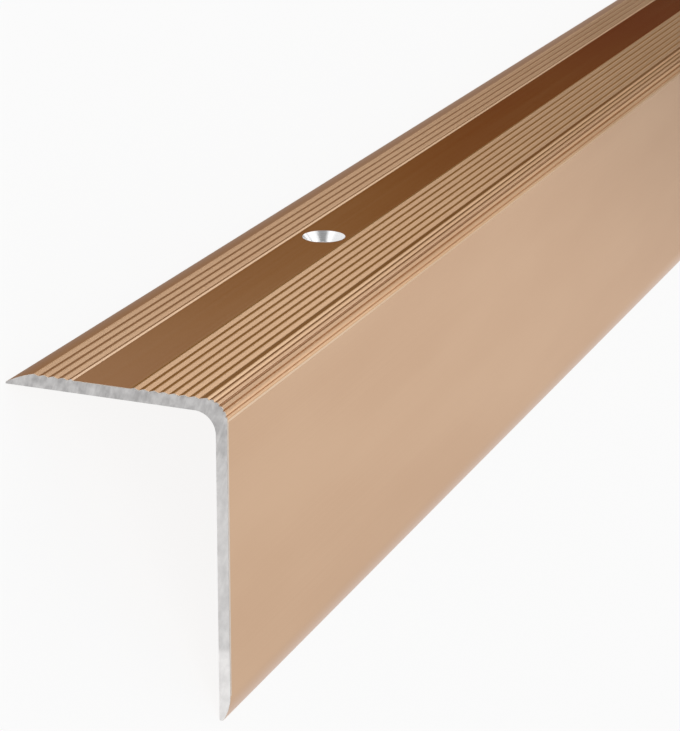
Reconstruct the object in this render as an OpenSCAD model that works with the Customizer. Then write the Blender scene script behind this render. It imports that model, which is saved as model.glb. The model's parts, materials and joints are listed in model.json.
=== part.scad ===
// Stair nosing: an extruded aluminium angle with a ribbed tread leg, a rounded
// ribbed nose and a plain riser leg, screwed down through the smooth band.
// The section is drawn as installed: u runs from the back edge to the riser
// face and v runs up from the underside of the tread leg. The bar is stored
// lying on its two long edges, nose up, with its length along Y.

/* [Profile] */
// Depth of the tread leg, from the back edge to the front of the nose
tread_depth = 46; // [42:0.5:60]
// Height of the riser leg, from the rib crests to the lower edge
riser_height = 65; // [40:0.5:90]
// Length of the bar
bar_length = 1000; // [600:10:2700]
// Thickness of the tread leg at the rib crests
tread_t = 2.6; // [2.4:0.05:3.4]
// Thickness of the riser leg
riser_t = 2.27; // [1.8:0.01:3]
// Outer radius of the nose, at the rib crests
nose_r = 4.25; // [3.6:0.05:5.5]
// Radius of the inner corner
inner_r = 4.2; // [1:0.1:5]

/* [Long edges] */
// Height of the blunt back edge
back_edge_t = 0.35; // [0.25:0.05:1]
// Width of the ramp from the back edge up to the first rib
ramp_w = 5.95; // [4:0.05:7]
// Radius of the slight crown on the ramp
ramp_r = 26; // [15:1:80]
// Thickness of the lower edge of the riser leg
lower_edge_t = 0.7; // [0.5:0.05:1.4]
// Height of the rounded foot above the lower edge
foot_h = 5.3; // [3:0.1:8]

/* [Ribs] */
// Number of ribs behind the smooth band
rear_ribs = 4; // [2:1:5]
// Distance from one rib to the next
rib_pitch = 2.05; // [1.8:0.05:2.4]
// Depth of the grooves below the rib crests
groove_depth = 0.3; // [0.2:0.05:0.5]
// Width of a groove's flat floor
groove_floor_w = 0.1; // [0.05:0.05:0.4]
// Width of the rear side of a rib
rise_w = 1; // [0.6:0.05:1.2]
// Width of the flat on a rib's crest
crest_w = 0.1; // [0.06:0.02:0.2]
// Width of the long ramp that climbs from the last groove to the nose
nose_ramp_w = 1.4; // [0.8:0.1:1.6]

/* [Nose grooves] */
// Number of grooves round the nose
nose_grooves = 5; // [3:1:5]
// Angle from the top of the nose to the first groove
nose_groove_start = 7.2; // [6:0.1:14]
// Angle from one nose groove to the next
nose_groove_step = 16.5; // [13:0.1:17]
// Depth of the nose grooves
nose_groove_depth = 0.28; // [0.15:0.01:0.4]
// Width of the first nose groove, at the top
nose_groove_first_w = 0.95; // [0.6:0.05:1.2]
// Width of the last nose groove, above the riser face
nose_groove_last_w = 0.42; // [0.3:0.02:0.8]
// Share of a nose groove's width that lies above its lowest line
nose_groove_lead = 0.37; // [0.3:0.01:0.5]
// How far the nose stands out past the riser face
nose_proud = 0.08; // [0.04:0.01:0.2]
// Angle at which the nose leads in to the riser face
nose_step_lean = 6; // [4:1:20]

/* [Smooth band] */
// Distance across the band, from the lip behind it to the rib in front
band_w = 13.1; // [12:0.1:14]
// Depth of the band below the rib crests
band_depth = 0.25; // [0.15:0.05:0.4]
// Width of the sloping lip behind the band
lip_w = 0.25; // [0.2:0.05:0.8]
// Width of the climb to the lip, and of the climb from the band to the rib in front
band_rise_w = 0.7; // [0.4:0.05:1]

/* [Screw holes] */
// Number of screw holes
hole_count = 3; // [2:1:6]
// Distance from each end of the bar to the nearest hole
hole_end_gap = 109; // [40:1:150]
// Diameter of the through hole
hole_d = 5.5; // [4.5:0.1:6.5]
// Diameter of the countersink at the band
csk_d = 9.6; // [8:0.1:10]
// Included angle of the countersink
csk_angle = 90; // [82:1:100]

/* [Hidden] */
$fn = 96;

// How far a cut runs past the surface that it opens
cut_past = 0.2;

// The two legs and the rounded corner between them
drop = riser_height - tread_t;
riser_u = tread_depth - nose_proud;
inner_u = riser_u - riser_t;
nose_u = tread_depth - nose_r;
nose_v = tread_t - nose_r;

// Crown of the back ramp: a circle through both ends of the ramp
ramp_rise = tread_t - back_edge_t;
ramp_chord = norm([ramp_w, ramp_rise]);
ramp_sink = sqrt(pow(ramp_r, 2) - pow(ramp_chord / 2, 2));
ramp_centre = [ramp_w / 2 + ramp_sink * ramp_rise / ramp_chord,
               back_edge_t + ramp_rise / 2 - ramp_sink * ramp_w / ramp_chord];

// Rounded foot of the riser face: an arc that leaves the face smoothly
foot_inset = riser_t - lower_edge_t;
foot_r = (pow(foot_h, 2) + pow(foot_inset, 2)) / (2 * foot_inset);

// Places across the tread leg: lip behind the band, first rib in front of it
rear_last_u = ramp_w + (rear_ribs - 1) * rib_pitch;
lip_u = rear_last_u + rib_pitch - rise_w + band_rise_w;
front_u = lip_u + band_w;
band_v = tread_t - band_depth;

// As many ribs in front of the band as leave room for the ramp to the nose
rib_slope_w = rib_pitch - crest_w - groove_floor_w - rise_w;
last_rib_w = crest_w + rib_slope_w + nose_ramp_w;
front_ribs = 1 + floor((nose_u - front_u - last_rib_w) / rib_pitch);
last_rib_u = front_u + (front_ribs - 1) * rib_pitch;

// Screw holes on the middle of the band, evenly along the bar
hole_u = (lip_u + front_u) / 2;
hole_span = bar_length - 2 * hole_end_gap;
hole_step = hole_span / (hole_count - 1);
csk_h = (csk_d - hole_d) / 2 / tan(csk_angle / 2);

// Stored lean: both inner long edges touch the floor, the box centred on X
lean = atan2(drop, inner_u);
rear_reach = -back_edge_t * sin(lean);
front_reach = (inner_u + lower_edge_t) * cos(lean) + drop * sin(lean);
centre_x = (rear_reach + front_reach) / 2;

// Block of both legs with the rounded nose, still solid inside
module outer_block() {
    translate([0, -drop]) square([nose_u, riser_height]);
    translate([0, -drop]) square([tread_depth, riser_height - nose_r]);
    translate([nose_u, nose_v]) circle(r = nose_r);
}

// Space where the edge of the stair goes, with its round inner corner
module stair_space() {
    far = -drop - cut_past;
    translate([-cut_past, far]) square([inner_u - inner_r + cut_past, drop + cut_past]);
    translate([-cut_past, far]) square([inner_u + cut_past, drop - inner_r + cut_past]);
    translate([inner_u - inner_r, -inner_r]) circle(r = inner_r);
}

// What is cut away above the crowned ramp
module ramp_cut() {
    difference() {
        translate([-cut_past, back_edge_t]) square([ramp_w + cut_past, ramp_rise + cut_past]);
        translate(ramp_centre) circle(r = ramp_r);
    }
}

// What is cut off the riser face at its rounded foot
module foot_cut() {
    difference() {
        translate([riser_u - foot_inset - cut_past, -drop - cut_past])
            square([foot_inset + 2 * cut_past, foot_h + cut_past]);
        translate([riser_u - foot_r, foot_h - drop]) circle(r = foot_r);
    }
}

// A cut below the crests: it falls over fall_w, stays flat, then climbs over climb_w
module trough(from_u, to_u, depth, fall_w, climb_w) {
    fall_past = cut_past * fall_w / depth;
    climb_past = cut_past * climb_w / depth;
    polygon([[from_u - fall_past, tread_t + cut_past],
             [from_u + fall_w, tread_t - depth],
             [to_u - climb_w, tread_t - depth],
             [to_u + climb_past, tread_t + cut_past]]);
}

// Ribs: each falls towards the nose and climbs again to the next crest
module rib_grooves(first_u, count) {
    for (i = [0 : count - 1]) {
        crest = first_u + i * rib_pitch;
        trough(crest + crest_w, crest + rib_pitch, groove_depth, rib_slope_w, rise_w);
    }
}

// A point on a circle about the middle of the nose, by radius and angle from the top
function nose_point(radius, turn) = [nose_u + radius * sin(turn), nose_v + radius * cos(turn)];

// V grooves, evenly round the nose, each narrower than the one above by the same factor
module nose_groove_row() {
    for (i = [0 : nose_grooves - 1]) {
        turn = nose_groove_start + i * nose_groove_step;
        share = i / (nose_grooves - 1);
        width = nose_groove_first_w * pow(nose_groove_last_w / nose_groove_first_w, share);
        upper = width * nose_groove_lead / nose_r * 180 / PI;
        lower = width * (1 - nose_groove_lead) / nose_r * 180 / PI;
        bottom = nose_point(nose_r - nose_groove_depth, turn);
        climb = nose_r * cos(lower) - nose_r + nose_groove_depth;
        reach = (nose_groove_depth + cut_past) / climb;
        polygon([bottom,
                 bottom + reach * (nose_point(nose_r, turn - upper) - bottom),
                 bottom + reach * (nose_point(nose_r, turn + lower) - bottom)]);
    }
}

// What is cut off in front of the riser face, with the step that leans out to the nose
module riser_relief() {
    rise = (nose_proud + cut_past) / tan(nose_step_lean);
    polygon([[riser_u, -drop - cut_past],
             [riser_u, nose_v],
             [tread_depth + cut_past, nose_v + rise],
             [tread_depth + cut_past, -drop - cut_past]]);
}

// Section of the bar as installed
module section() {
    difference() {
        outer_block();
        stair_space();
        ramp_cut();
        foot_cut();
        rib_grooves(ramp_w, rear_ribs - 1);
        trough(rear_last_u + crest_w, lip_u, groove_depth, rib_slope_w, band_rise_w);
        trough(lip_u + crest_w, front_u, band_depth, lip_w, band_rise_w);
        rib_grooves(front_u, front_ribs - 1);
        trough(last_rib_u + crest_w, nose_u, groove_depth, rib_slope_w, nose_ramp_w);
        nose_groove_row();
        riser_relief();
    }
}

// One countersunk screw hole, standing on the underside of the tread leg
module screw_hole() {
    flare = cut_past * tan(csk_angle / 2);
    translate([0, 0, -cut_past]) cylinder(d = hole_d, h = tread_t + 2 * cut_past);
    translate([0, 0, band_v - csk_h])
        cylinder(d1 = hole_d, d2 = csk_d + 2 * flare, h = csk_h + cut_past);
}

// The whole bar, lying on its two long edges
module nosing_profile() {
    color([0.78, 0.63, 0.5])
    translate([-centre_x, 0, 0]) rotate([0, -lean, 0])
    difference() {
        rotate([90, 0, 0]) linear_extrude(height = bar_length, center = true) section();
        for (i = [0 : hole_count - 1])
            translate([hole_u, i * hole_step - hole_span / 2, 0]) screw_hole();
    }
}

nosing_profile();
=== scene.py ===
import json
import math

import bpy
import numpy as np
from mathutils import Matrix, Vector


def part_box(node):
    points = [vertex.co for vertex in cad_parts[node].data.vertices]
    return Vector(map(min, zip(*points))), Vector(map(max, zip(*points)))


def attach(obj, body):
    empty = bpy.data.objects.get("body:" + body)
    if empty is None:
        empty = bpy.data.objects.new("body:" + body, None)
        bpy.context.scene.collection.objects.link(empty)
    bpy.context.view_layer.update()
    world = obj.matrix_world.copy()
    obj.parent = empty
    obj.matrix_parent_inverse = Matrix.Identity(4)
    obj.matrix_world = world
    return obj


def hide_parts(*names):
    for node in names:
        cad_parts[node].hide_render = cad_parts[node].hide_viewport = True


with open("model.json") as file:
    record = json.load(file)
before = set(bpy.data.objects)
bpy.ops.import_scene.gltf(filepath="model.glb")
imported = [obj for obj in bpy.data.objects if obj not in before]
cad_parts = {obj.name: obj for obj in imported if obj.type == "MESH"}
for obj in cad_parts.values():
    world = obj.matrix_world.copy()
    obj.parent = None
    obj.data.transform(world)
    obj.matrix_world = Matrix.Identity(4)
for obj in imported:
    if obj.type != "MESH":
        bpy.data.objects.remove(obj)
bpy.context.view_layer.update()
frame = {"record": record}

# Section sizes in millimetres, as installed: u runs from the back edge to the
# riser face and v runs up from the underside of the tread leg
TREAD_DEPTH = 46.0
RISER_HEIGHT = 65.0
TREAD_T = 2.6
RISER_T = 2.27
NOSE_R = 4.25
INNER_R = 4.2
BACK_EDGE_T = 0.35
RAMP_W = 5.95
RAMP_R = 26.0
LOWER_EDGE_T = 0.7
FOOT_H = 5.3
REAR_RIBS = 4
FRONT_RIBS = 7
RIB_PITCH = 2.05
GROOVE_DEPTH = 0.3
GROOVE_FLOOR_W = 0.1
RISE_W = 1.0
CREST_W = 0.1
NOSE_RAMP_W = 1.4
NOSE_GROOVES = 5
NOSE_GROOVE_START = 7.2
NOSE_GROOVE_STEP = 16.5
NOSE_GROOVE_FIRST_W = 0.95
NOSE_GROOVE_LAST_W = 0.42
NOSE_GROOVE_DEPTH = 0.28
NOSE_GROOVE_LEAD = 0.37
NOSE_PROUD = 0.08
NOSE_STEP_LEAN = 6.0
BAND_W = 13.1
BAND_DEPTH = 0.25
LIP_W = 0.25
BAND_RISE_W = 0.7
CSK_R = 4.8
CSK_ANGLE = 90.0

# Edges that the extrusion die and the saw leave slightly round, in millimetres and degrees
SOFT_REACH = 0.06
HOLE_SOFT_REACH = 0.12
SAWN_EDGE_W = 0.15
SAWN_EDGE_R = 0.018
SAWN_EDGE_TILTS = (90, 60, 30)
# Widths of the cream burr strip, partly a painted highlight of the lit edge, wider on the riser face
BURR_W = 0.2
RISER_BURR_W = 0.6

# Steps of the outline, in millimetres and degrees, the fewest points of an arc, and the
# largest turn or height that counts as none
OUTLINE_STEP = 0.01
ARC_STEP = 0.5
ARC_LEAST = 3
TURN_STEP = math.radians(10)
TINY = 1e-6

# Mesh around a screw hole: half the side of its square cell and the steps along it, where
# the rings lie between the circle and the square, the flat run past the hole's own profile,
# and how upright the profile's normal is where it still counts as the band
CELL_HALF = 5.9
CELL_STEPS = 16
CELL_RINGS = (0.12, 0.4)
HOLE_LEAD = 1.0
RIM_NORMAL = 0.93

MM = 0.001

# Places that follow from those sizes
DROP = RISER_HEIGHT - TREAD_T
RISER_U = TREAD_DEPTH - NOSE_PROUD
INNER_U = RISER_U - RISER_T
NOSE_U = TREAD_DEPTH - NOSE_R
NOSE_V = TREAD_T - NOSE_R
SLOPE_W = RIB_PITCH - CREST_W - GROOVE_FLOOR_W - RISE_W
LIP_U = RAMP_W + REAR_RIBS * RIB_PITCH - RISE_W + BAND_RISE_W
FRONT_U = LIP_U + BAND_W
BAND_V = TREAD_T - BAND_DEPTH
GROOVE_V = TREAD_T - GROOVE_DEPTH
CELL = np.linspace(-CELL_HALF, CELL_HALF, CELL_STEPS + 1)

# The screw holes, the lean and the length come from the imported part
holes = [mount for mount in frame["record"]["mounts"] if mount["kind"] == "bore"]
HOLE_R = holes[0]["dims"]["r_mm"]
CSK_H = (CSK_R - HOLE_R) / math.tan(math.radians(CSK_ANGLE / 2))
HOLE_YS = sorted(hole["pos_m"][1] / MM for hole in holes)
SIN_LEAN = -holes[0]["axis"][0]
COS_LEAN = holes[0]["axis"][2]
HALF_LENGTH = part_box("nosing_profile")[1][1] / MM
FLAT_END = HALF_LENGTH - SAWN_EDGE_W
REAR_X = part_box("nosing_profile")[0][0] / MM + BACK_EDGE_T * SIN_LEAN


def to_row(u, y, v):
    """Section place to the row frame in metres: u and v turned up by the lean about the back edge."""
    x = REAR_X + u * COS_LEAN - v * SIN_LEAN
    z = u * SIN_LEAN + v * COS_LEAN
    return np.stack(np.broadcast_arrays(x, y, z), axis=-1) * MM


def turn_to_row(du, dy, dv):
    """Section direction to the row frame: du and dv turned up by the lean."""
    x = du * COS_LEAN - dv * SIN_LEAN
    z = du * SIN_LEAN + dv * COS_LEAN
    return np.stack(np.broadcast_arrays(x, dy, z), axis=-1)


def from_row(point):
    """Row place in metres back to u and v in millimetres."""
    x, z = point[0] / MM - REAR_X, point[2] / MM
    return x * COS_LEAN + z * SIN_LEAN, z * COS_LEAN - x * SIN_LEAN


HOLE_U = from_row(holes[0]["pos_m"])[0]


def on_circle(centre, radius, bearings):
    """Points on a circle at bearings in degrees from +v towards +u."""
    turn = np.radians(bearings)
    return np.stack([centre[0] + radius * np.sin(turn), centre[1] + radius * np.cos(turn)], axis=1)


def arc(centre, radius, start, end):
    """Points on a circle from one bearing to another, about ARC_STEP apart."""
    count = max(ARC_LEAST, int(abs(end - start) / ARC_STEP))
    return on_circle(centre, radius, np.linspace(start, end, count))


def ramp_crown():
    """The back ramp: the circle of the crown's radius through both ends of the ramp."""
    rise = TREAD_T - BACK_EDGE_T
    chord = math.hypot(RAMP_W, rise)
    sink = math.sqrt(RAMP_R ** 2 - chord ** 2 / 4)
    centre = (RAMP_W / 2 + sink * rise / chord, BACK_EDGE_T + rise / 2 - sink * RAMP_W / chord)
    start = math.degrees(math.atan2(-centre[0], BACK_EDGE_T - centre[1]))
    end = math.degrees(math.atan2(RAMP_W - centre[0], TREAD_T - centre[1]))
    return arc(centre, RAMP_R, start, end)


def rib_field(first, count):
    """Saw-toothed ribs: one rib's crest, slope and groove floor, repeated at the pitch."""
    rib = np.array([[0, TREAD_T], [CREST_W, TREAD_T],
                    [CREST_W + SLOPE_W, GROOVE_V], [RIB_PITCH - RISE_W, GROOVE_V]])
    shift = np.stack([first + RIB_PITCH * np.arange(count), np.zeros(count)], axis=1)
    return (rib[None] + shift[:, None]).reshape(-1, 2)


def nose_step_bearing():
    """Bearing where the leaning step meets the nose circle, on a line from the step's foot."""
    foot = RISER_U - NOSE_U
    lean = math.radians(NOSE_STEP_LEAN)
    along = math.sqrt(NOSE_R ** 2 - (foot * math.cos(lean)) ** 2) - foot * math.sin(lean)
    return math.degrees(math.atan2(foot + along * math.sin(lean), along * math.cos(lean)))


def grooved_nose():
    """The nose: lands on the nose radius between V grooves that shrink evenly towards the riser.

    Each groove's width is that of the one before times a fixed factor. Below the
    last land a leaning step leads in to the riser face.
    """
    centre = (NOSE_U, NOSE_V)
    share = np.linspace(0, 1, NOSE_GROOVES)
    bearings = NOSE_GROOVE_START + NOSE_GROOVE_STEP * np.arange(NOSE_GROOVES)
    widths = NOSE_GROOVE_FIRST_W * (NOSE_GROOVE_LAST_W / NOSE_GROOVE_FIRST_W) ** share
    runs, last = [], 0.0
    for bearing, width in zip(bearings, np.degrees(widths / NOSE_R)):
        runs.append(arc(centre, NOSE_R, last, bearing - width * NOSE_GROOVE_LEAD))
        runs.append(on_circle(centre, NOSE_R - NOSE_GROOVE_DEPTH, [bearing]))
        last = bearing + width * (1 - NOSE_GROOVE_LEAD)
    runs.append(arc(centre, NOSE_R, last, nose_step_bearing()))
    runs.append([[RISER_U, NOSE_V]])
    return np.concatenate(runs)


def riser_foot():
    """The rounded foot of the riser: an arc that leaves the face smoothly and ends at the lower edge."""
    inset = RISER_U - INNER_U - LOWER_EDGE_T
    radius = (FOOT_H ** 2 + inset ** 2) / (2 * inset)
    sweep = math.degrees(math.asin(FOOT_H / radius))
    return arc((RISER_U - radius, FOOT_H - DROP), radius, 90, 90 + sweep)


def section_outline():
    """The whole outline with sharp corners, clockwise from the underside of the back edge."""
    return np.concatenate([
        [[0, 0], [0, BACK_EDGE_T]],
        ramp_crown(),
        rib_field(RAMP_W, REAR_RIBS)[1:-1],
        [[LIP_U - BAND_RISE_W, GROOVE_V], [LIP_U, TREAD_T], [LIP_U + CREST_W, TREAD_T],
         [LIP_U + CREST_W + LIP_W, BAND_V], [FRONT_U - BAND_RISE_W, BAND_V]],
        rib_field(FRONT_U, FRONT_RIBS)[:-1],
        [[NOSE_U - NOSE_RAMP_W, GROOVE_V]],
        grooved_nose(),
        riser_foot(),
        [[INNER_U, -DROP]],
        arc((INNER_U - INNER_R, -INNER_R), INNER_R, 90, 0),
    ])


def soften(corners, closed, soft_reach):
    """Rounds every corner of an outline by a running weighted mean along it, then keeps few points.

    The outline is walked in equal steps and each point becomes the mean of its
    neighbours within soft_reach, weighted by a raised cosine, so straight runs
    stay straight. Points are kept where a bend starts or ends and after each
    TURN_STEP of turning. Returns the kept points and their normals, which lie
    to the left of the way along.
    """
    if closed:
        corners = np.concatenate([corners, corners[:1]])
    along = np.concatenate([[0], np.cumsum(np.linalg.norm(np.diff(corners, axis=0), axis=1))])
    count = int(along[-1] / OUTLINE_STEP)
    walk = np.linspace(0, along[-1], count, endpoint=not closed)
    reach = int(soft_reach / OUTLINE_STEP)
    weight = np.hanning(2 * reach + 3)[1:-1]
    weight /= weight.sum()

    def mean(values):
        """The running weighted mean of one coordinate, at every step of the walk."""
        spread = np.interp(walk, along, values)
        if closed:
            padded = np.pad(spread, reach, mode="wrap")
        else:
            padded = np.pad(spread, reach, mode="reflect", reflect_type="odd")
        return np.convolve(padded, weight, mode="valid")

    points = np.stack([mean(corners[:, 0]), mean(corners[:, 1])], axis=1)
    if closed:
        run = np.roll(points, -1, axis=0) - np.roll(points, 1, axis=0)
    else:
        run = np.gradient(points, axis=0)
    heading = np.unwrap(np.arctan2(run[:, 1], run[:, 0]))
    turned = np.abs(np.diff(heading, prepend=heading[0]))
    bends = turned > TINY
    step_end = np.diff(np.floor(np.cumsum(turned) / TURN_STEP), prepend=0) > 0
    keep = step_end | (bends != np.roll(bends, 1)) | (bends != np.roll(bends, -1))
    if not closed:
        keep[[0, -1]] = True
    way = run / np.linalg.norm(run, axis=1, keepdims=True)
    return points[keep], np.stack([-way[:, 1], way[:, 0]], axis=1)[keep]


def with_nodes(points, normals, nodes_u, level):
    """Adds points at the given u on the long flat run at one level, and returns where they start."""
    after = np.roll(points, -1, axis=0)
    span = np.abs(after[:, 0] - points[:, 0])
    flat = (np.abs(points[:, 1] - level) < TINY) & (np.abs(after[:, 1] - level) < TINY)
    run = int(np.argmax(np.where(flat, span, 0)))
    order = nodes_u if after[run, 0] > points[run, 0] else nodes_u[::-1]
    extra = np.stack([order, np.full(len(order), level)], axis=1)
    points = np.concatenate([points[:run + 1], extra, points[run + 1:]])
    normals = np.concatenate([normals[:run + 1], np.repeat(normals[run:run + 1], len(order), axis=0),
                              normals[run + 1:]])
    return points, normals, run + 1


# Kinds of face, in the order of the bar's materials
PLAIN, RIB, LIP, LINE, GROOVE, REAR, STRIP, BAND, STEP, SAWN, TURNED = range(11)

# How a run of the outline is known: facings in degrees from straight up, heights in millimetres
WALL_TURN = 6
STEEPEST_CLIMB = 60
LEVEL_TURN = 3
BAND_TURN = 2
LIP_FALL = (25, 60)
SIDEWAYS = 89
CREST_SOFT = 0.03
BAND_SOFT = 0.02
RISER_SOFT = 0.01

# Nose grooves whose front walls have the line's painted highlight, and those that have it or the lip's
LINE_GROOVES = 2
PALE_GROOVES = 3


def run_middles(points):
    """u and v of the middle of each run, from one point of the outline to the next."""
    return ((points + np.roll(points, -1, axis=0)) / 2).T


def outline_finish_and_painted_light(points, normals):
    """Kind of face of each run of the outline, by its place and by the way it faces; most kinds are lit and
    shaded copies of one bronze, for painted highlight and painted shade.

    The facing is the bearing of a run's normal from straight up, towards the
    riser. On the nose a run is a groove's wall where its facing turns away from
    its bearing about the nose's centre, back or out. On the tread leg the
    sides that climb towards the riser are those that face back.
    """
    u, v = run_middles(points)
    across = normals + np.roll(normals, -1, axis=0)
    facing = np.degrees(np.arctan2(across[:, 0], across[:, 1]))
    bearing = np.degrees(np.arctan2(u - NOSE_U, v - NOSE_V))
    groove = np.round((bearing - NOSE_GROOVE_START) / NOSE_GROOVE_STEP)

    on_nose = (u > NOSE_U) & (v > NOSE_V)
    on_ramp = (v > 0) & (u < RAMP_W)
    on_tread = (v > BAND_V / 2) & (facing < SIDEWAYS)
    on_band = (np.abs(facing) < BAND_TURN) & (np.abs(v - BAND_V) < BAND_SOFT)
    near_lip = np.abs(u - LIP_U - LIP_W / 2) < LIP_W
    on_lip = near_lip & (facing > LIP_FALL[0]) & (facing < LIP_FALL[1])
    on_strip = np.abs(u - NOSE_U + NOSE_RAMP_W / 2) < NOSE_RAMP_W

    climbs = (np.abs(facing) < STEEPEST_CLIMB) & (facing < LEVEL_TURN)
    faces_back = np.where(on_nose, facing - bearing < -WALL_TURN, climbs)
    faces_back &= v <= TREAD_T - CREST_SOFT
    faces_out = on_nose & (facing - bearing > WALL_TURN)

    # Painted shade on walls that face back (groove, rear, strip), painted highlight on walls that face out
    # (line, lip) and on the step, painted dark reflection on the band
    kinds = {
        BAND: on_band,
        STRIP: faces_back & on_strip,
        REAR: faces_back & (u < LIP_U),
        GROOVE: faces_back & (groove < NOSE_GROOVES - 1),
        STEP: on_nose & (bearing > nose_step_bearing()),
        LINE: faces_out & (groove < LINE_GROOVES),
        LIP: faces_out & (groove < PALE_GROOVES) | on_lip,
        RIB: on_tread | on_ramp | on_nose,
    }
    return np.select(list(kinds.values()), list(kinds), PLAIN)


def grid_finish_and_painted_light(points, normals, y):
    """Kind of every face of the grid: that of its run, and sawn metal where a burr covers the ends."""
    u, v = run_middles(points)
    finish_and_painted_light = np.repeat(outline_finish_and_painted_light(points, normals)[:, None], len(y) - 1, axis=1)
    along = np.abs(y[:-1] + y[1:]) / 2
    finish_and_painted_light[:, along > FLAT_END - BURR_W] = SAWN
    on_riser = (u > RISER_U - RISER_SOFT) & (v < NOSE_V)
    finish_and_painted_light[np.ix_(on_riser, along > FLAT_END - RISER_BURR_W)] = SAWN
    return finish_and_painted_light


def bar_stations():
    """Places along the bar that hold the whole section, how far its edge leans there, and the first cell.

    From each end they are the steps of the sawn edge's quarter circle, the ends
    of the burrs, and the steps of the cells round the holes.
    """
    burrs = np.array([0, BURR_W, RISER_BURR_W])
    cells = [hole_y + CELL for hole_y in HOLE_YS]
    inner = np.concatenate([burrs - FLAT_END, *cells, FLAT_END - burrs[::-1]])
    tilt = np.radians(SAWN_EDGE_TILTS)
    edge = SAWN_EDGE_W * np.sin(tilt)
    y = np.concatenate([-FLAT_END - edge, inner, (FLAT_END + edge)[::-1]])
    lean = np.concatenate([-tilt, np.zeros(len(inner)), tilt[::-1]])
    return y, lean, len(tilt) + len(burrs)


def carried_section(points, normals, y, lean):
    """The section at every station, drawn in along its normals by the quarter circle of the sawn edge."""
    inset = SAWN_EDGE_R * (1 - np.cos(lean))
    place = points[:, None] - normals[:, None] * inset[None, :, None]
    shade = normals[:, None] * np.cos(lean)[None, :, None]
    return (to_row(place[..., 0], y[None], place[..., 1]),
            turn_to_row(shade[..., 0], np.sin(lean)[None], shade[..., 1]))


class Gathered:
    """The points of a mesh and their normals, gathered grid by grid."""

    def __init__(self):
        self.places, self.normals, self.count = [], [], 0

    def add(self, places, normals):
        """Adds a grid of points and gives their numbers, as the same grid."""
        numbers = self.count + np.arange(places[..., 0].size).reshape(places.shape[:-1])
        self.places.append(places.reshape(-1, 3))
        self.normals.append(np.broadcast_to(normals, places.shape).reshape(-1, 3))
        self.count += numbers.size
        return numbers


def round_square(grid):
    """The outermost values of a square grid, walked once round it."""
    return np.concatenate([grid[:-1, 0], grid[-1, :-1], grid[:0:-1, -1], grid[0, :0:-1]])


def hole_wall():
    """The hole's own profile from the underside up to the band, softened: radii with v, and normals."""
    corners = np.array([[HOLE_R + HOLE_LEAD, 0], [HOLE_R, 0], [HOLE_R, BAND_V - CSK_H],
                        [CSK_R, BAND_V], [CSK_R + HOLE_LEAD, BAND_V]])
    wall, wall_normal = soften(corners, False, HOLE_SOFT_REACH)
    return wall[1:-1], wall_normal[1:-1]


def hole_patch(gathered, rims, hole_y):
    """Faces that fill the cells round one hole and line it, with their kinds.

    On the underside and on the band, each ring's point is a fixed share of the
    way from the hole's circle to the square cell, on the same bearing. Between
    them the hole's own profile is turned about the hole's axis.
    """
    wall, wall_normal = hole_wall()
    square_u, square_y = (round_square(grid) for grid in np.meshgrid(CELL, CELL, indexing="ij"))
    bearing = np.arctan2(square_y, square_u)
    share = np.array(CELL_RINGS)[:, None]
    rings = []
    for radius, v, up in ((wall[0, 0], 0.0, -1.0), (wall[-1, 0], BAND_V, 1.0)):
        ring_u = (1 - share) * radius * np.cos(bearing) + share * square_u
        ring_y = (1 - share) * radius * np.sin(bearing) + share * square_y
        rings.append(gathered.add(to_row(HOLE_U + ring_u, hole_y + ring_y, v), turn_to_row(0.0, 0.0, up)))

    radii, heights = wall[:, :1], wall[:, 1:]
    outward, upward = wall_normal[:, :1], wall_normal[:, 1:]
    turned = gathered.add(
        to_row(HOLE_U + radii * np.cos(bearing), hole_y + radii * np.sin(bearing), heights),
        turn_to_row(outward * np.cos(bearing), outward * np.sin(bearing), upward))

    under_rim, band_rim = rims
    under_rings, band_rings = rings
    stack = np.concatenate([under_rim[None], under_rings[::-1], turned, band_rings, band_rim[None]])
    following = np.roll(stack, -1, axis=1)
    faces = np.stack([stack[:-1], stack[1:], following[1:], following[:-1]], axis=-1)
    finish_and_painted_light = np.full(faces.shape[:2], TURNED)
    finish_and_painted_light[:len(under_rings) + 1] = PLAIN
    rim_rows = np.count_nonzero(wall_normal[:, 1] > RIM_NORMAL)
    finish_and_painted_light[-len(band_rings) - 1 - rim_rows:] = BAND
    return faces.reshape(-1, 4), finish_and_painted_light.reshape(-1)


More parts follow.
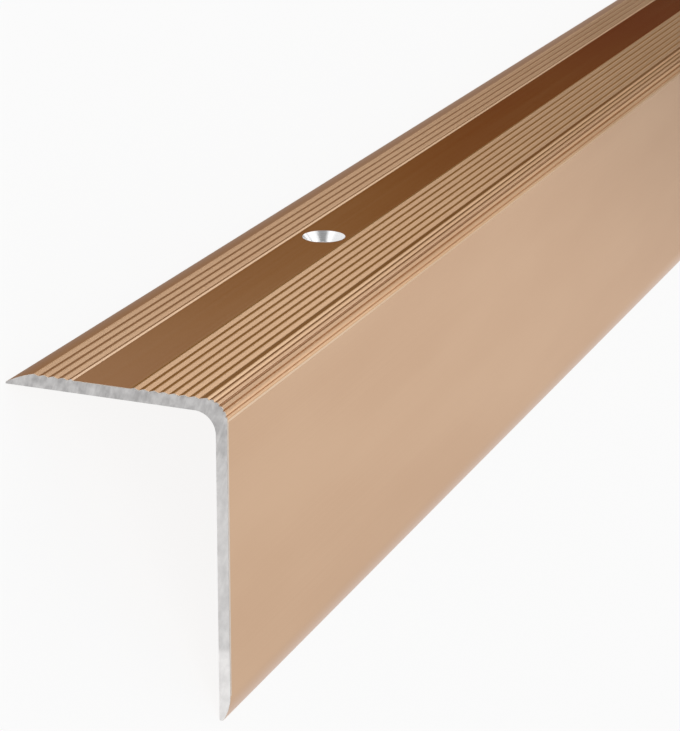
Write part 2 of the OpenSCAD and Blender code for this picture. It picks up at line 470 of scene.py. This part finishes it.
def nosing_mesh():
    """The bar: the softened section carried along Y, with sawn ends and countersunk holes.

    Every station along the bar holds the whole section, and faces join each
    point to the next one along the outline and along the bar. Round each hole,
    on the band and on the underside, the hole's own patch takes the place of a
    square cell of that grid. The two ends are one face each.
    """
    points, normals = soften(section_outline(), True, SOFT_REACH)
    points, normals, band_at = with_nodes(points, normals, HOLE_U + CELL, BAND_V)
    points, normals, under_at = with_nodes(points, normals, HOLE_U + CELL, 0.0)
    y, lean, first_cell = bar_stations()

    gathered = Gathered()
    index = gathered.add(*carried_section(points, normals, y, lean))
    following = np.roll(index, -1, axis=0)
    quads = np.stack([index[:, :-1], following[:, :-1], following[:, 1:], index[:, 1:]], axis=-1)
    finish_and_painted_light = grid_finish_and_painted_light(points, normals, y)
    kept = np.ones(finish_and_painted_light.shape, bool)
    patches = []
    for number, hole_y in enumerate(HOLE_YS):
        at = first_cell + number * (CELL_STEPS + 1)
        stations = np.arange(at, at + CELL_STEPS + 1)
        rims = []
        for start, way in ((under_at, -1), (band_at, 1)):
            kept[start:start + CELL_STEPS, at:at + CELL_STEPS] = False
            nodes = np.arange(start, start + CELL_STEPS + 1)[::way]
            rims.append(round_square(index[np.ix_(nodes, stations)]))
        patches.append(hole_patch(gathered, rims, hole_y))

    patch_faces, patch_finishes_and_painted_light = zip(*patches)
    faces = np.concatenate([quads[kept], *patch_faces])
    finishes_and_painted_light = np.concatenate([finish_and_painted_light[kept], *patch_finishes_and_painted_light])
    ends = [index[::-1, 0].tolist(), index[:, -1].tolist()]
    return np.concatenate(gathered.places), np.concatenate(gathered.normals), faces, finishes_and_painted_light, ends


class Shade:
    """One socket of a node tree. Operators on it add Math nodes to that tree."""

    def __init__(self, tree, socket=None):
        self.tree = tree
        self.socket = socket

    def node(self, kind, settings=None, sockets=None, out=0):
        """Adds a node: its settings first, then values or links for its sockets; gives one output."""
        made = self.tree.nodes.new(kind)
        for name, value in (settings or {}).items():
            setattr(made, name, value)
        for name, value in (sockets or {}).items():
            if isinstance(value, Shade):
                self.tree.links.new(value.socket, made.inputs[name])
            else:
                made.inputs[name].default_value = value
        return Shade(self.tree, made.outputs[out])

    def math(self, operation, *values):
        """Adds a Math node that works on the given values."""
        return self.node("ShaderNodeMath", {"operation": operation}, dict(enumerate(values)))

    def __add__(self, other):
        return self.math("ADD", self, other)

    def __sub__(self, other):
        return self.math("SUBTRACT", self, other)

    def __rsub__(self, other):
        return self.math("SUBTRACT", other, self)

    def __mul__(self, other):
        return self.math("MULTIPLY", self, other)

    def __truediv__(self, other):
        return self.math("DIVIDE", self, other)

    def __rtruediv__(self, other):
        return self.math("DIVIDE", other, self)

    __radd__ = __add__
    __rmul__ = __mul__

    def between(self, low, high):
        """0 up to low, 1 from high on, smooth in between; low may be the larger one."""
        return self.node("ShaderNodeMapRange", {"interpolation_type": "SMOOTHSTEP"},
                         {"Value": self, "From Min": low, "From Max": high})


def new_material(name):
    """A material with a Principled shader: the material, a handle on its tree and the shader's sockets."""
    material = bpy.data.materials.new(name)
    material.use_nodes = True
    tree = material.node_tree
    return material, Shade(tree), tree.nodes["Principled BSDF"].inputs


def feed(tree, socket, value):
    """Links a worked-out value to a shader socket."""
    tree.tree.links.new(value.socket, socket)


def section_coordinates(tree):
    """u, y and v in millimetres, from Object coordinates turned back by the lean."""
    place = tree.node("ShaderNodeTexCoord", out="Object")
    split = tree.node("ShaderNodeSeparateXYZ", None, {0: place}).socket.node
    x, y, z = (Shade(tree.tree, out) for out in split.outputs)
    x, y, z = x / MM - REAR_X, y / MM, z / MM
    return x * COS_LEAN + z * SIN_LEAN, y, z * COS_LEAN - x * SIN_LEAN


# Noise: how rough each finer layer is, and how many layers plain and fine noise have
NOISE_ROUGHNESS = 0.55
PLAIN_DETAIL = 2.0
FINE_DETAIL = 3.0

# Places of the colour sockets on a Mix node
MIX_FACTOR, MIX_FROM, MIX_TO, MIX_RESULT = 0, 6, 7, 2


def noise(tree, x, y, z, detail=PLAIN_DETAIL):
    """Noise over three worked-out coordinates."""
    place = tree.node("ShaderNodeCombineXYZ", None, {0: x, 1: y, 2: z})
    return tree.node("ShaderNodeTexNoise", None,
                     {"Vector": place, "Scale": 1.0, "Detail": detail, "Roughness": NOISE_ROUGHNESS})


def tinted(tree, dark, light, factor):
    """A colour between two, by a factor."""
    return tree.node("ShaderNodeMix", {"data_type": "RGBA"},
                     {MIX_FACTOR: factor, MIX_FROM: dark, MIX_TO: light}, out=MIX_RESULT)


def bump(tree, height, strength, distance):
    """A normal that leans with the slope of a height."""
    return tree.node("ShaderNodeBump", None, {"Height": height, "Strength": strength, "Distance": distance})


# Copies of one anodised bronze in the order of the kinds of face, from PLAIN to STEP, that paint
# light and shade by colour: painted light on the ribs, painted highlight on the lip, the nose lines
# and the step, painted shade on walls that face back, a painted dark reflection on the band. Tones
# are the darker and the lighter colour of each copy, edge is what it leaves of the light at a
# grazing angle, smooth is its lowest roughness, and foot is the colour at the riser's lower edge,
# a painted reflection of the floor
BRONZE = ((0.56, 0.37, 0.242, 1), (0.6, 0.41, 0.274, 1))
RIB_BRONZE_PAINTED_LIGHT = ((0.535, 0.352, 0.23, 1), (0.575, 0.39, 0.26, 1))
LIP_PAINTED_HIGHLIGHT = ((0.72, 0.51, 0.36, 1), (0.76, 0.55, 0.39, 1))
LINE_PAINTED_HIGHLIGHT = ((0.8, 0.567, 0.378, 1), (0.84, 0.602, 0.398, 1))
BAND_BRONZE_PAINTED_REFLECTION = ((0.63, 0.408, 0.292, 1), (0.67, 0.446, 0.322, 1))
STEP_PAINTED_HIGHLIGHT = ((0.93, 0.76, 0.59, 1), (0.97, 0.8, 0.63, 1))
# Lighter colour at the riser's lower edge: painted reflection of the floor
LOWER_EDGE_PAINTED_REFLECTION = (0.73, 0.55, 0.45, 1)
ANODISED = {
    "riser_bronze": {"tones": BRONZE, "edge": (0.87, 0.8, 0.74, 1), "smooth": 0.3, "foot": LOWER_EDGE_PAINTED_REFLECTION},
    # Painted light: a brighter grazing edge keeps the ribs bright far along the bar
    "rib_bronze": {"tones": RIB_BRONZE_PAINTED_LIGHT, "edge": (0.95, 0.76, 0.57, 1), "smooth": 0.26},
    # Painted highlight on the lip and on the front walls of the first nose grooves
    "lip_bronze": {"tones": LIP_PAINTED_HIGHLIGHT, "edge": (0.6, 0.48, 0.35, 1), "smooth": 0.26},
    # Painted highlight on the front walls of the first nose grooves
    "line_bronze": {"tones": LINE_PAINTED_HIGHLIGHT, "edge": (0.16, 0.03, 0, 1), "smooth": 0.26},
    # Painted shade on walls that face back: in the grooves, on the rear rises and on the strip
    "groove_bronze": {"tones": BRONZE, "edge": (0.3, 0.19, 0.1, 1), "smooth": 0.26},
    "rear_bronze": {"tones": BRONZE, "edge": (0.36, 0.25, 0.19, 1), "smooth": 0.26},
    "strip_bronze": {"tones": BRONZE, "edge": (0.2, 0.13, 0.095, 1), "smooth": 0.24},
    # Painted dark reflection: a very dark grazing edge on the band
    "band_bronze": {"tones": BAND_BRONZE_PAINTED_REFLECTION, "edge": (0.105, 0.05, 0, 1), "smooth": 0.2},
    # Painted highlight on the step into the riser
    "step_bronze": {"tones": STEP_PAINTED_HIGHLIGHT, "edge": (0.33, 0.22, 0.15, 1), "smooth": 0.26},
}

# Drawing lines and soft clouds of the anodised layer: noise per millimetre across and along
# the bar, the lines' share of the tone, and their spread of roughness and relief
DRAWN_ACROSS, DRAWN_ALONG = 2.2, 0.006
CLOUD_ACROSS, CLOUD_ALONG = 0.05, 0.012
DRAWN_SHARE = 0.4
TONE_SPAN = (0.3, 0.7)
ROUGH_SPREAD = 0.08
DRAWN_RELIEF = (0.06, 0.0001)


def anodised(name, tones, edge, smooth, foot=None):
    """Anodised aluminium: faint drawing lines along the bar in colour, gloss and relief.

    The tone is a weighted sum of lines and clouds. Where there is a foot
    colour, the tone fades to it down the rounded foot of the riser, a painted
    reflection of the floor.
    """
    material, tree, shader = new_material(name)
    shader["Metallic"].default_value = 1.0
    shader["Specular Tint"].default_value = edge
    u, y, v = section_coordinates(tree)
    lines = noise(tree, u * DRAWN_ACROSS, y * DRAWN_ALONG, v * DRAWN_ACROSS, FINE_DETAIL)
    cloud = noise(tree, u * CLOUD_ACROSS, y * CLOUD_ALONG, v * CLOUD_ACROSS)
    tone = (lines * DRAWN_SHARE + cloud * (1 - DRAWN_SHARE)).between(*TONE_SPAN)
    colour = tinted(tree, *tones, tone)
    if foot:
        # Painted reflection of the floor, lighter down the rounded foot
        colour = tinted(tree, colour, foot, v.between(FOOT_H - DROP, -DROP))
    feed(tree, shader["Base Color"], colour)
    feed(tree, shader["Roughness"], lines * ROUGH_SPREAD + smooth)
    feed(tree, shader["Normal"], bump(tree, lines, *DRAWN_RELIEF))
    return material


# Sawn metal: colours, the slant of the saw lines, noise per millimetre, heights between which
# painted light makes the riser and its foot lighter, and where the burr starts and ends, in from the end
SAWN_TONES = ((0.345, 0.337, 0.337, 1), (0.9, 0.885, 0.875, 1))
# Cream of the burr strip, partly a painted highlight of the lit edge
BURR_CREAM_AND_HIGHLIGHT = (0.77, 0.69, 0.62, 1)
SAW_SLANT = 0.35
PATCHES_ACROSS, PATCHES_ALONG, PATCHES_DRIFT = 0.42, 0.3, 0.1
SAW_LINES_ACROSS, SAW_LINES_ALONG = 1.8, 0.3
RISER_PAINTED_LIGHT_SPAN = (-1.0, -20.0)
FOOT_PAINTED_LIGHT_SPAN = (-47.0, -48.2)
BURR_SPAN = (0.14, 0.04)

# Sawn metal's tone, from 0 for the darker colour to 1 for the lighter one
PATCH_SHARE = 0.75
MOTTLE_SPAN = (0.28, 0.72)
MOTTLE_MIDDLE = 0.5
TREAD_TONE, TREAD_MOTTLE = 0.36, 0.54
# Gains of painted light down the riser and at its foot, and the mottle's loss down the riser
RISER_PAINTED_LIGHT_GAIN, RISER_MOTTLE_LOSS = 0.28, 0.24
FOOT_PAINTED_LIGHT_GAIN = 0.28

# Sawn metal's roughness and relief
SAWN_SMOOTH, SAW_LINES_ROUGH, BURR_ROUGH = 0.38, 0.2, 0.1
SAWN_RELIEF = (0.2, 0.0001)


def sawn_aluminium():
    """Bare sawn metal: soft grey patches and slanting saw lines, with painted light that makes it lighter
    down the riser and at its foot.

    The burr that the saw turned over the long edges is cream: partly bare
    metal, partly a painted highlight of the lit edge.
    """
    material, tree, shader = new_material("sawn_aluminium")
    shader["Metallic"].default_value = 1.0
    u, y, v = section_coordinates(tree)
    slant = u - v * SAW_SLANT
    drift = v * PATCHES_ALONG + u * PATCHES_DRIFT
    patches = noise(tree, slant * PATCHES_ACROSS, y, drift, FINE_DETAIL)
    lines = noise(tree, slant * SAW_LINES_ACROSS, y, v * SAW_LINES_ALONG)
    # Painted light: the section turns lighter down the riser and at its foot
    riser = v.between(*RISER_PAINTED_LIGHT_SPAN)
    foot = v.between(*FOOT_PAINTED_LIGHT_SPAN)
    burr = 1 - y.math("ABSOLUTE", y).between(HALF_LENGTH - BURR_SPAN[0], HALF_LENGTH - BURR_SPAN[1])
    mottle = (patches * PATCH_SHARE + lines * (1 - PATCH_SHARE)).between(*MOTTLE_SPAN) - MOTTLE_MIDDLE
    painted_light = riser * RISER_PAINTED_LIGHT_GAIN + foot * FOOT_PAINTED_LIGHT_GAIN + TREAD_TONE
    tone = mottle * (TREAD_MOTTLE - riser * RISER_MOTTLE_LOSS) + painted_light
    metal = tinted(tree, *SAWN_TONES, tone)
    # Cream burr strip: partly bare metal, partly a painted highlight of the lit edge
    feed(tree, shader["Base Color"], tinted(tree, metal, BURR_CREAM_AND_HIGHLIGHT, burr))
    feed(tree, shader["Roughness"], lines * SAW_LINES_ROUGH + burr * BURR_ROUGH + SAWN_SMOOTH)
    feed(tree, shader["Normal"], bump(tree, lines, *SAWN_RELIEF))
    return material


# Turned metal: colours, rings per millimetre of depth, roughness and relief
TURNED_TONES = ((0.8, 0.8, 0.81, 1), (0.93, 0.93, 0.93, 1))
RINGS_ACROSS = 9.0
TURNED_SMOOTH, RINGS_ROUGH = 0.2, 0.12
RING_RELIEF = (0.08, 0.00005)


def turned_aluminium():
    """Bare countersunk metal: bright, with fine rings left by the cutter."""
    material, tree, shader = new_material("turned_aluminium")
    shader["Metallic"].default_value = 1.0
    depth = section_coordinates(tree)[2]
    rings = noise(tree, depth * RINGS_ACROSS, 0.0, 0.0)
    feed(tree, shader["Base Color"], tinted(tree, *TURNED_TONES, rings))
    feed(tree, shader["Roughness"], rings * RINGS_ROUGH + TURNED_SMOOTH)
    feed(tree, shader["Normal"], bump(tree, rings, *RING_RELIEF))
    return material


def new_object(name, data):
    """A new object in the scene, at the origin."""
    made = bpy.data.objects.new(name, data)
    bpy.context.scene.collection.objects.link(made)
    return made


def nosing():
    """The dressed bar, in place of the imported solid."""
    places, normals, faces, finishes_and_painted_light, ends = nosing_mesh()
    mesh = bpy.data.meshes.new("nosing")
    mesh.from_pydata(places.tolist(), [], faces.tolist() + ends)
    slots = np.concatenate([finishes_and_painted_light, np.full(len(ends), SAWN)])
    mesh.polygons.foreach_set("material_index", slots.astype(np.int32))
    mesh.polygons.foreach_set("use_smooth", np.ones(len(mesh.polygons), bool))
    mesh.normals_split_custom_set_from_vertices(normals.tolist())
    for name, finish_and_painted_light in ANODISED.items():
        mesh.materials.append(anodised(name, **finish_and_painted_light))
    mesh.materials.append(sawn_aluminium())
    mesh.materials.append(turned_aluminium())
    mesh.update()
    piece = new_object("nosing", mesh)
    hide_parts("nosing_profile")
    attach(piece, "root")


# Floor: half its side in metres, its colour and roughness, and how much of it glows
FLOOR_HALF = 30.0
FLOOR_PALE = (0.93, 0.93, 0.93, 1)
FLOOR_ROUGHNESS = 0.9
FLOOR_GLOW = 0.89
WHITE = (1, 1, 1, 1)


def floor():
    """A pale floor that the camera and the metal see as nearly white, with the bar's shadow on it."""
    mesh = bpy.data.meshes.new("floor")
    corners = np.array([[-1, -1, 0], [1, -1, 0], [1, 1, 0], [-1, 1, 0]]) * FLOOR_HALF
    mesh.from_pydata(corners.tolist(), [], [[0, 1, 2, 3]])
    material, tree, shader = new_material("pale_floor")
    shader["Base Color"].default_value = FLOOR_PALE
    shader["Roughness"].default_value = FLOOR_ROUGHNESS
    shader["Specular IOR Level"].default_value = 0.0
    path = tree.node("ShaderNodeLightPath").socket.node
    camera_ray, glossy_ray, clear_ray = (Shade(tree.tree, path.outputs[name]) for name in (
        "Is Camera Ray", "Is Glossy Ray", "Is Transmission Ray"))
    seen = tree.math("MAXIMUM", tree.math("MAXIMUM", camera_ray, glossy_ray), clear_ray)
    glow = tree.node("ShaderNodeEmission", None, {"Color": WHITE, "Strength": 1.0})
    lit = Shade(tree.tree, shader["Base Color"].node.outputs[0])
    mixed = tree.node("ShaderNodeMixShader", None, {0: seen * FLOOR_GLOW, 1: lit, 2: glow})
    feed(tree, tree.tree.nodes["Material Output"].inputs["Surface"], mixed)
    mesh.materials.append(material)
    new_object("floor", mesh)


def unit(vector):
    """A vector of the same direction with length 1."""
    return vector / np.linalg.norm(vector)


def standing(right, up, back, place):
    """World matrix of an object at a place, with its own axes along right, up and back."""
    columns = np.stack([right, up, back, place], axis=1)
    return Matrix([*columns.tolist(), [0, 0, 0, 1]])


# Soft boxes in metres: place, width, height and brightness, where 1 looks as bright as white
LAMP_TARGET = (0.0, -0.4, 0.0)
SOFT_BOXES = {
    "tread_box": ((-0.55, 0.35, 0.38), 0.5, 0.4, 1.35),
    "nose_box": ((0.11, 0.9, 0.75), 1.23, 0.6, 0.98),
    "riser_box": ((1.0, 0.85, 0.45), 1.2, 1.0, 0.847),
    "over_box": ((-0.37, -0.01, 0.93), 0.9, 0.5, 1.04),
    "left_box": ((-1.1, -0.75, 0.26), 1.2, 0.5, 1.06),
    "front_box": ((0.5, -1.6, 0.9), 2.2, 1.7, 1.15),
}
SURROUND_STRENGTH = 0.3


def soft_box(name, place, width, height, brightness):
    """A rectangular lamp that faces the target."""
    data = bpy.data.lights.new(name, "AREA")
    data.shape = "RECTANGLE"
    data.size = width
    data.size_y = height
    data.energy = brightness * math.pi * width * height
    back = unit(np.array(place) - np.array(LAMP_TARGET))
    right = unit(np.cross((0, 0, 1), back))
    new_object(name, data).matrix_world = standing(right, np.cross(back, right), back, place)


def studio():
    """Soft boxes round the bar and an even grey surround."""
    world = bpy.data.worlds.new("surround")
    world.use_nodes = True
    background = world.node_tree.nodes["Background"].inputs
    background["Color"].default_value = WHITE
    background["Strength"].default_value = SURROUND_STRENGTH
    bpy.context.scene.world = world
    for name, values in SOFT_BOXES.items():
        soft_box(name, *values)


# The photo's view, as installed: angles in degrees, sizes in pixels of a 680 by 731
# picture, and the near back corner of the underside with its depth in millimetres
PICTURE = (680, 731)
VIEW_AZIMUTH = 21.934
VIEW_ELEVATION = 18.799
VIEW_ROLL = 0.173
FOCAL_PX = 2633.965
CORNER_PX = (5.6, 383.45)
CORNER_DEPTH = 498.97
SENSOR_WIDTH = 36.0
CLIP_START = 0.01


def camera():
    """The camera that sees the bar as the photo does, turned with the bar to its stored pose."""
    azimuth, elevation, roll = np.radians([VIEW_AZIMUTH, VIEW_ELEVATION, VIEW_ROLL])
    back = np.array([math.sin(azimuth) * math.cos(elevation),
                     -math.cos(azimuth) * math.cos(elevation), math.sin(elevation)])
    level = unit(np.cross(-back, (0, 0, 1)))
    rise = np.cross(level, -back)
    right = level * math.cos(roll) + rise * math.sin(roll)
    up = rise * math.cos(roll) - level * math.sin(roll)
    right, up, back = (turn_to_row(*axis) for axis in (right, up, back))
    across = (CORNER_PX[0] - PICTURE[0] / 2) / FOCAL_PX
    down = (CORNER_PX[1] - PICTURE[1] / 2) / FOCAL_PX
    corner = to_row(0.0, -HALF_LENGTH, 0.0)
    place = corner - (right * across - up * down - back) * CORNER_DEPTH * MM
    data = bpy.data.cameras.new("camera")
    data.sensor_fit = "AUTO"
    data.sensor_width = SENSOR_WIDTH
    data.lens = FOCAL_PX / max(PICTURE) * SENSOR_WIDTH
    data.clip_start = CLIP_START
    made = new_object("camera", data)
    made.matrix_world = standing(right, up, back, place)
    bpy.context.scene.camera = made


nosing()
floor()
studio()
camera()
bpy.context.scene.view_settings.view_transform = "Standard"
